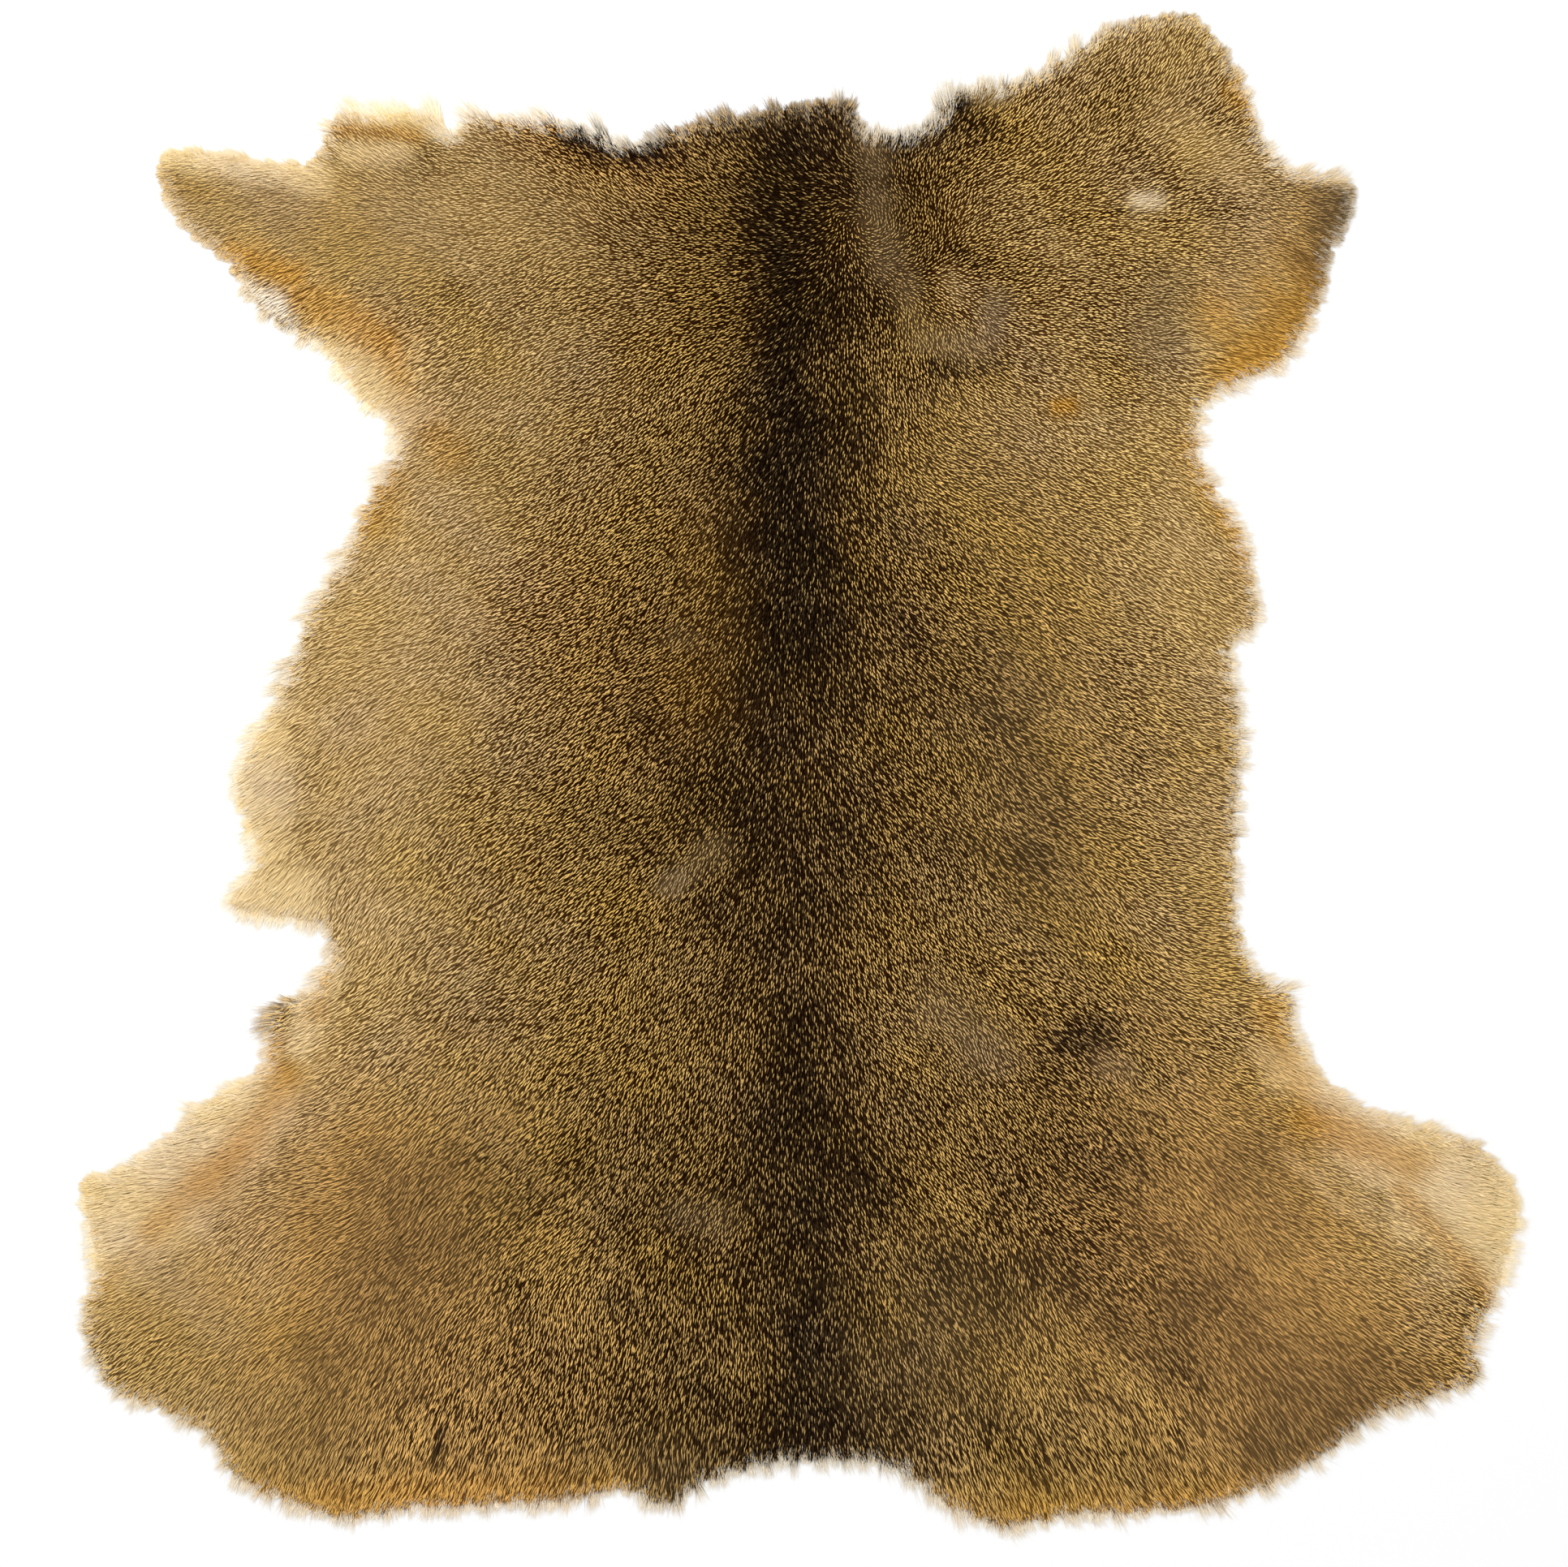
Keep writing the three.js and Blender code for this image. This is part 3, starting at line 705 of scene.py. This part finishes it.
# A closed sheet over the hide, its rim drawn in by an inset, from one height up to another
def makeSheet(name, hide, shape, bottom, topAt):
    pitch, inset = shape["pitch"], shape["inset"]
    acrossCount = int((cadHigh.x - cadLow.x) / mm / pitch) + 4
    deepCount = int((cadHigh.y - cadLow.y) / mm / pitch) + 4
    gridX = cadLow.x / mm - pitch + np.arange(acrossCount) * pitch
    gridY = cadLow.y / mm - pitch + np.arange(deepCount) * pitch
    cellX, cellY = np.meshgrid(gridX[:-1] + pitch / 2, gridY[:-1] + pitch / 2)
    smoothInside = hide.softened(hide.inside, sheets["softening"])
    used = hide.read(smoothInside, cellX.ravel(), cellY.ravel()).reshape(cellX.shape) > inset
    rows, places = np.nonzero(used)
    corner = rows * acrossCount + places
    quads = np.stack([corner, corner + 1, corner + 1 + acrossCount, corner + acrossCount], 1)
    kept, quads = np.unique(quads, return_inverse=True)
    quads = quads.reshape(-1, 4)
    x = gridX[kept % acrossCount]
    y = gridY[kept // acrossCount]
    edges = np.stack([quads, np.roll(quads, -1, 1)], 2).reshape(-1, 2)
    codes = edges[:, 0] * len(kept) + edges[:, 1]
    back = edges[:, 1] * len(kept) + edges[:, 0]
    rim = edges[~np.isin(codes, back)]
    onRim = np.zeros(len(kept), bool)
    onRim[rim.ravel()] = True
    for _ in range(sheets["rimSteps"]):
        short = np.clip(hide.read(smoothInside, x, y) - inset, -pitch, pitch) * onRim * sheets["rimPull"]
        x = x + hide.read(hide.outX, x, y) * short
        y = y + hide.read(hide.outY, x, y) * short
    low = np.stack([x, y, np.full_like(x, bottom)], 1)
    high = np.stack([x, y, topAt(x, y)], 1)
    count = len(x)
    walls = np.stack([rim[:, 0], rim[:, 1], rim[:, 1] + count, rim[:, 0] + count], 1)
    faces = np.concatenate([quads[:, ::-1], quads + count, walls])
    places = np.concatenate([low, high])
    tones = tonesAt(x, y)
    side = np.repeat([0.0, 1.0], count)
    middling = np.full(2 * count, 0.5)

    def twice(*values):
        return np.tile(np.stack(values, 1), (2, 1))

    attributes = {
        "lock": np.stack([side * sheets["woolAlong"], middling, middling], 1),
        "tone": twice(tones["shade"], tones["cream"], tones["rust"]),
        # The third number here is the side, 1 on top, where the skin is painted darker: hair roots and
        # painted shade
        "wear": np.column_stack([twice(tones["rub"], tones["gold"]), side]),
        "cast": twice(tones["calm"], tones["warm"], tones["white"]),
    }
    print("sheet", name, "faces", len(faces))
    return meshFromArrays(name, places, faces, attributes)


skin = {"pitch": 11, "thickness": 1.7, "inset": 9, "swell": (0.25, 45, 0.9)}


def makeSkin(hide):
    def topAt(x, y):
        return skin["thickness"] + waves(x, y, skin["swell"])

    return makeSheet("skin", hide, skin, 0, topAt)


underwool = {
    "pitch": 9,
    "inset": 12,
    "depth": 4.6,
    "aboveSkin": 0.35,
    "thinnest": 0.5,
    "swell": (0.4, 14, 0.2),
    "fluffScale": 900,
    "fluffDetail": 4,
    "fluffSpan": (0.3, 0.7),
    "fluffGrey": (0.5, 0.95),
    "bump": 0.0015,
    "bumpStrength": 0.8,
    "roughness": 0.9,
    "gloss": 0.15,
}


def makeUnderwool(hide):
    bottom = skin["thickness"] + underwool["aboveSkin"]

    def topAt(x, y):
        top = hide.read(hide.height, x, y) - underwool["depth"] + waves(x, y, underwool["swell"])
        return np.maximum(top, bottom + underwool["thinnest"])

    return makeSheet("underwool", hide, underwool, bottom, topAt)


# A colour given as it looks on a screen, 0 to 255, made linear
def screenColour(red, green, blue):
    channels = [value / 255 for value in (red, green, blue)]
    linear = [c / 12.92 if c <= 0.04045 else ((c + 0.055) / 1.055) ** 2.4 for c in channels]
    return (*linear, 1.0)


# Hair colours: the light band of a hair and the dark of its root and tip, from the flanks to the spine;
# the dark is also painted shade, for it fills the gaps between the standing locks
hairColours = {
    "bands": [
        {"shade": 0.0, "light": (243, 215, 157), "dark": (148, 114, 57)},
        {"shade": 0.25, "light": (250, 216, 145), "dark": (84, 48, 4)},
        {"shade": 0.5, "light": (244, 203, 122), "dark": (54, 26, 2)},
        {"shade": 0.75, "light": (212, 174, 106), "dark": (40, 19, 2)},
        {"shade": 1.0, "light": (166, 139, 90), "dark": (23, 10, 3)},
    ],
    "creamLight": (247, 228, 181),
    "creamDark": (220, 195, 146),
    "rustLight": (238, 184, 82),
    "rustDark": (138, 90, 14),
    "rubLight": (200, 178, 138),
    "rubDark": (116, 90, 58),
    "calmDark": 0.42,
    "calmLight": 0.3,
    "calmSooner": 0.25,
    "chanceShift": 0.34,
    "chanceLight": 0.3,
    "bandRises": (0.38, 0.58),
    "bandFalls": (0.82, 1.0),
    "bandAtTip": 0.2,
    "paleRises": (0.15, 0.75),
    "paleTip": (250, 240, 220),
    "goldCast": (1.05, 1.0, 0.80),
    "greyCast": (0.98, 0.96, 1.03),
    "warmCast": (1.08, 0.96, 0.92),
    "roughness": 0.58,
    "darkRoughness": 0.68,
    "gloss": 0.03,
}


def addNode(tree, kind, at, **settings):
    node = tree.nodes.new(kind)
    node.location = at
    for key, value in settings.items():
        setattr(node, key, value)
    return node


def setOrLink(tree, socket, value):
    if isinstance(value, (int, float, tuple)):
        socket.default_value = value
    else:
        tree.links.new(value, socket)


def addMath(tree, operation, values, at, clamp=False):
    node = addNode(tree, "ShaderNodeMath", at, operation=operation, use_clamp=clamp)
    for socket, value in zip(node.inputs, values):
        setOrLink(tree, socket, value)
    return node.outputs[0]


def addRange(tree, value, span, at, to=(0.0, 1.0)):
    node = addNode(tree, "ShaderNodeMapRange", at, interpolation_type="SMOOTHSTEP")
    tree.links.new(value, node.inputs["Value"])
    for name, number in zip(("From Min", "From Max", "To Min", "To Max"), (*span, *to)):
        node.inputs[name].default_value = number
    return node.outputs["Result"]


def addMix(tree, share, first, second, at, blend="MIX"):
    node = addNode(tree, "ShaderNodeMix", at, data_type="RGBA", blend_type=blend)
    node.clamp_factor = True
    for name, value in (("Factor_Float", share), ("A_Color", first), ("B_Color", second)):
        setOrLink(tree, next(s for s in node.inputs if s.identifier == name), value)
    return next(s for s in node.outputs if s.identifier == "Result_Color")


def addRamp(tree, value, stops, at):
    node = addNode(tree, "ShaderNodeValToRGB", at)
    ramp = node.color_ramp
    while len(ramp.elements) < len(stops):
        ramp.elements.new(0.5)
    for element, (position, colour) in zip(ramp.elements, stops):
        element.position = position
        element.color = colour
    tree.links.new(value, node.inputs["Fac"])
    return node.outputs["Color"]


def addGrey(tree, value, at):
    node = addNode(tree, "ShaderNodeCombineColor", at)
    for socket in node.inputs:
        tree.links.new(value, socket)
    return node.outputs["Color"]


def addNoise(tree, scale, detail, at):
    where = addNode(tree, "ShaderNodeTexCoord", (at[0] - 250, at[1]))
    noise = addNode(tree, "ShaderNodeTexNoise", at)
    noise.inputs["Scale"].default_value = scale
    noise.inputs["Detail"].default_value = detail
    tree.links.new(where.outputs["Object"], noise.inputs["Vector"])
    return noise.outputs["Fac"]


def addBump(tree, shader, height, distance, strength):
    bump = addNode(tree, "ShaderNodeBump", (200, -500))
    bump.inputs["Distance"].default_value = distance
    bump.inputs["Strength"].default_value = strength
    tree.links.new(height, bump.inputs["Height"])
    tree.links.new(bump.outputs["Normal"], shader.inputs["Normal"])


# The three numbers of an attribute
def readAttribute(tree, name, at):
    read = addNode(tree, "ShaderNodeAttribute", at, attribute_name=name)
    split = addNode(tree, "ShaderNodeSeparateXYZ", (at[0] + 200, at[1]))
    tree.links.new(read.outputs["Vector"], split.inputs["Vector"])
    return split.outputs


# The colour along a hair: dark root, light band, dark tip, in the tones of its place on the hide;
# the dark serves as painted shade too, between the standing locks
def hairToneGroup():
    group = bpy.data.node_groups.new("hairTone", "ShaderNodeTree")
    sockets = group.interface
    inputs = ("Along", "Chance", "Fleck", "Shade", "Cream", "Rust", "Rub", "Gold", "Pale", "Calm", "Warm")
    for name in inputs:
        sockets.new_socket(name=name, socket_type="NodeSocketFloat", in_out="INPUT")
    sockets.new_socket(name="Color", socket_type="NodeSocketColor", in_out="OUTPUT")
    sockets.new_socket(name="Band", socket_type="NodeSocketFloat", in_out="OUTPUT")
    enter = addNode(group, "NodeGroupInput", (-1400, 0)).outputs
    leave = addNode(group, "NodeGroupOutput", (1100, 0))
    colours = hairColours
    lights = [(band["shade"], screenColour(*band["light"])) for band in colours["bands"]]
    darks = [(band["shade"], screenColour(*band["dark"])) for band in colours["bands"]]
    light = addRamp(group, enter["Shade"], lights, (-900, 300))
    dark = addRamp(group, enter["Shade"], darks, (-900, 0))
    for tone, height in (("Rust", 0), ("Rub", 1), ("Cream", 2)):
        key = tone.lower()
        at = (-500 + 160 * height, 300)
        light = addMix(group, enter[tone], light, screenColour(*colours[key + "Light"]), at)
        dark = addMix(group, enter[tone], dark, screenColour(*colours[key + "Dark"]), (at[0], 0))
    darkCalm = addMath(group, "MULTIPLY", (enter["Calm"], colours["calmDark"]), (-300, 500))
    lightCalm = addMath(group, "MULTIPLY", (enter["Calm"], colours["calmLight"]), (-300, 700))
    calmDark = addMix(group, darkCalm, dark, light, (50, 0))
    light = addMix(group, lightCalm, light, dark, (50, 300))
    dark = calmDark
    spread = colours["chanceShift"]
    shift = addMath(group, "MULTIPLY_ADD", (enter["Chance"], spread, -spread / 2), (-1100, -300))
    moved = addMath(group, "ADD", (enter["Along"], shift), (-900, -300))
    sooner = addMath(group, "MULTIPLY_ADD", (enter["Calm"], colours["calmSooner"], moved), (-900, -450))
    rise = addRange(group, sooner, colours["bandRises"], (-700, -300))
    fall = addRange(group, moved, colours["bandFalls"], (-700, -500), (1.0, colours["bandAtTip"]))
    band = addMath(group, "MULTIPLY", (rise, fall), (-500, -400))
    fleckShare = addRange(group, enter["Fleck"], (0.0, 1.0), (-700, -700))
    band = addMath(group, "MULTIPLY", (band, fleckShare), (-300, -450), clamp=True)
    mixed = addMix(group, band, dark, light, (300, 100))
    spread = colours["chanceLight"]
    lift = addMath(group, "MULTIPLY_ADD", (enter["Chance"], spread, 1 - spread / 2), (100, -300))
    toned = addMix(group, 1.0, mixed, addGrey(group, lift, (300, -250)), (550, 0), blend="MULTIPLY")
    cast = addMix(group, enter["Gold"], (*colours["greyCast"], 1.0), (*colours["goldCast"], 1.0), (550, -250))
    cast = addMix(group, enter["Warm"], cast, (*colours["warmCast"], 1.0), (700, -250))
    toned = addMix(group, 1.0, toned, cast, (700, 0), blend="MULTIPLY")
    tipShare = addRange(group, enter["Along"], colours["paleRises"], (550, -500))
    paleShare = addMath(group, "MULTIPLY", (tipShare, enter["Pale"]), (700, -500))
    toned = addMix(group, paleShare, toned, screenColour(*colours["paleTip"]), (850, 0))
    group.links.new(toned, leave.inputs["Color"])
    group.links.new(band, leave.inputs["Band"])
    return group


def newMaterial(name, roughness, gloss=0.5):
    material = bpy.data.materials.new(name)
    material.use_nodes = True
    tree = material.node_tree
    tree.nodes.clear()
    shader = addNode(tree, "ShaderNodeBsdfPrincipled", (500, 0))
    output = addNode(tree, "ShaderNodeOutputMaterial", (800, 0))
    tree.links.new(shader.outputs["BSDF"], output.inputs["Surface"])
    shader.inputs["Roughness"].default_value = roughness
    shader.inputs["Specular IOR Level"].default_value = gloss
    return material, tree, shader


# The hair tone group, fed by what each lock knows about itself
def placeHairTone(tree, group, withPale):
    node = addNode(tree, "ShaderNodeGroup", (-200, 0), node_tree=group)
    wanted = {
        "lock": ("Along", "Chance", "Fleck"),
        "tone": ("Shade", "Cream", "Rust"),
        "wear": ("Rub", "Gold", "Pale") if withPale else ("Rub", "Gold"),
        "cast": ("Calm", "Warm"),
    }
    for k, (key, names) in enumerate(wanted.items()):
        for socket, name in zip(readAttribute(tree, key, (-700, 300 - 300 * k)), names):
            tree.links.new(socket, node.inputs[name])
    return node


def hairMaterial(name, group):
    colours = hairColours
    material, tree, shader = newMaterial(name, colours["roughness"], colours["gloss"])
    tone = placeHairTone(tree, group, True)
    tree.links.new(tone.outputs["Color"], shader.inputs["Base Color"])
    to = (colours["darkRoughness"], colours["roughness"])
    rough = addRange(tree, tone.outputs["Band"], (0.0, 1.0), (200, -300), to)
    tree.links.new(rough, shader.inputs["Roughness"])
    return material


def woolMaterial(group):
    wool = underwool
    material, tree, shader = newMaterial("underwoolGrey", wool["roughness"], wool["gloss"])
    tone = placeHairTone(tree, group, False)
    fluff = addNoise(tree, wool["fluffScale"], wool["fluffDetail"], (-650, -600))
    dim = addRange(tree, fluff, wool["fluffSpan"], (-350, -600), wool["fluffGrey"])
    grey = addGrey(tree, dim, (-150, -600))
    dimmed = addMix(tree, 1.0, tone.outputs["Color"], grey, (150, 0), blend="MULTIPLY")
    tree.links.new(dimmed, shader.inputs["Base Color"])
    addBump(tree, shader, fluff, wool["bump"], wool["bumpStrength"])
    return material


# Suede-like flesh side below; darker above, partly hair roots and partly painted shade where the skin shows
# through the coat
skinColours = {
    "suede": (214, 196, 164),
    "suedeDeep": (184, 158, 120),
    "grainRootsAndShade": (122, 96, 64),
    "cloudScale": 9,
    "cloudDetail": 6,
    "cloudSpan": (0.35, 0.7),
    "napScale": 700,
    "napDetail": 5,
    "napSpan": (0.3, 0.75),
    "napShare": 0.22,
    "bump": 0.0008,
    "bumpStrength": 0.6,
    "roughness": 0.88,
    "gloss": 0.2,
}


def skinMaterial():
    colours = skinColours
    material, tree, shader = newMaterial("tannedSkin", colours["roughness"], colours["gloss"])
    cloud = addNoise(tree, colours["cloudScale"], colours["cloudDetail"], (-850, 200))
    nap = addNoise(tree, colours["napScale"], colours["napDetail"], (-850, -100))
    cloudShare = addRange(tree, cloud, colours["cloudSpan"], (-600, 200))
    pale, deep = screenColour(*colours["suede"]), screenColour(*colours["suedeDeep"])
    suede = addMix(tree, cloudShare, pale, deep, (-350, 200))
    napShare = addRange(tree, nap, colours["napSpan"], (-600, -100), (0.0, colours["napShare"]))
    suede = addMix(tree, napShare, suede, deep, (50, 100))
    # The top side gets a darker colour: hair roots, and painted shade where the skin shows through the coat
    grainRootsAndShade = readAttribute(tree, "wear", (-350, -350))["Z"]
    sided = addMix(tree, grainRootsAndShade, suede, screenColour(*colours["grainRootsAndShade"]), (250, 50))
    tree.links.new(sided, shader.inputs["Base Color"])
    addBump(tree, shader, nap, colours["bump"], colours["bumpStrength"])
    return material


studio = {
    "floorSize": 8.0,
    "floorDrop": 0.0006,
    "floorColour": (0.86, 0.86, 0.86, 1.0),
    "floorRoughness": 0.9,
    "skyStrength": 0.55,
    "keyPower": 78,
    "keySize": 2.2,
    "keyAt": (-1.3, 1.5, 2.3),
    "fillPower": 30,
    "fillSize": 3.0,
    "fillAt": (1.6, -1.2, 2.4),
}


def addAreaLight(name, at, power, size):
    light = bpy.data.lights.new(name, "AREA")
    light.energy = power
    light.size = size
    made = addObject(name, light, at)
    made.rotation_mode = "QUATERNION"
    made.rotation_quaternion = (-made.location).to_track_quat("-Z", "Y")


def makeStudio():
    bpy.ops.object.select_all(action="DESELECT")
    bpy.ops.mesh.primitive_plane_add(size=studio["floorSize"], location=(0, 0, -studio["floorDrop"]))
    floor = bpy.context.object
    floor.name = "floor"
    material, _, shader = newMaterial("paleFloor", studio["floorRoughness"])
    shader.inputs["Base Color"].default_value = studio["floorColour"]
    floor.data.materials.append(material)
    world = bpy.data.worlds.new("softStudio")
    world.use_nodes = True
    background = world.node_tree.nodes["Background"]
    background.inputs["Color"].default_value = (1, 1, 1, 1)
    background.inputs["Strength"].default_value = studio["skyStrength"]
    bpy.context.scene.world = world
    addAreaLight("keyLight", studio["keyAt"], studio["keyPower"], studio["keySize"])
    addAreaLight("fillLight", studio["fillAt"], studio["fillPower"], studio["fillSize"])
    bpy.context.scene.view_settings.view_transform = "Standard"


# The photograph, in its own pixels, and how much of the floor one of them covers
photo = {
    "across": 1932,
    "down": 1931,
    "hideMiddleAcross": 985,
    "hideMiddleDown": 950.5,
    "mmPerPixel": 0.6366,
    "cameraHeight": 3.0,
    "sensor": 36.0,
}


def makeCamera():
    scale = photo["mmPerPixel"] * mm
    centreX = (cadLow.x + cadHigh.x) / 2 + (photo["across"] / 2 - photo["hideMiddleAcross"]) * scale
    centreY = (cadLow.y + cadHigh.y) / 2 - (photo["down"] / 2 - photo["hideMiddleDown"]) * scale
    camera = bpy.data.cameras.new("camera")
    camera.sensor_width = photo["sensor"]
    camera.lens = photo["sensor"] * photo["cameraHeight"] / (photo["across"] * scale)
    camera.clip_end = 50
    bpy.context.scene.camera = addObject("camera", camera, (centreX, centreY, photo["cameraHeight"]))


# The coat is made in parts, from the neck to the rump, each down to its own place
coatParts = [
    {"name": "neckHair", "downTo": 330, "seed": 50},
    {"name": "shoulderHair", "downTo": 60, "seed": 71},
    {"name": "backHair", "downTo": -190, "seed": 15},
    {"name": "loinHair", "downTo": -395, "seed": 101},
    {"name": "rumpHair", "downTo": -700, "seed": 87},
]


makeCamera()
makeStudio()
print("studio and camera")

hide = HideSurvey(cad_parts["hide"])
print("solid read on a grid of", hide.across, "by", hide.deep)

toneGroup = hairToneGroup()
coat = []
top = cadHigh.y / mm + 1
for part in coatParts:
    coat.append(makeGuardHair(hide, part, top))
    top = part["downTo"]
coat.append(makeRimHair(hide))
coatMaterial = hairMaterial("guardHair", toneGroup)
for piece in coat:
    piece.data.materials.append(coatMaterial)
woolPiece = makeUnderwool(hide)
woolPiece.data.materials.append(woolMaterial(toneGroup))
skinPiece = makeSkin(hide)
skinPiece.data.materials.append(skinMaterial())
print("skin and underwool")

soft = [woolPiece, *coat]
for piece in (skinPiece, *soft):
    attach(piece, "root")
    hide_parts("hide")
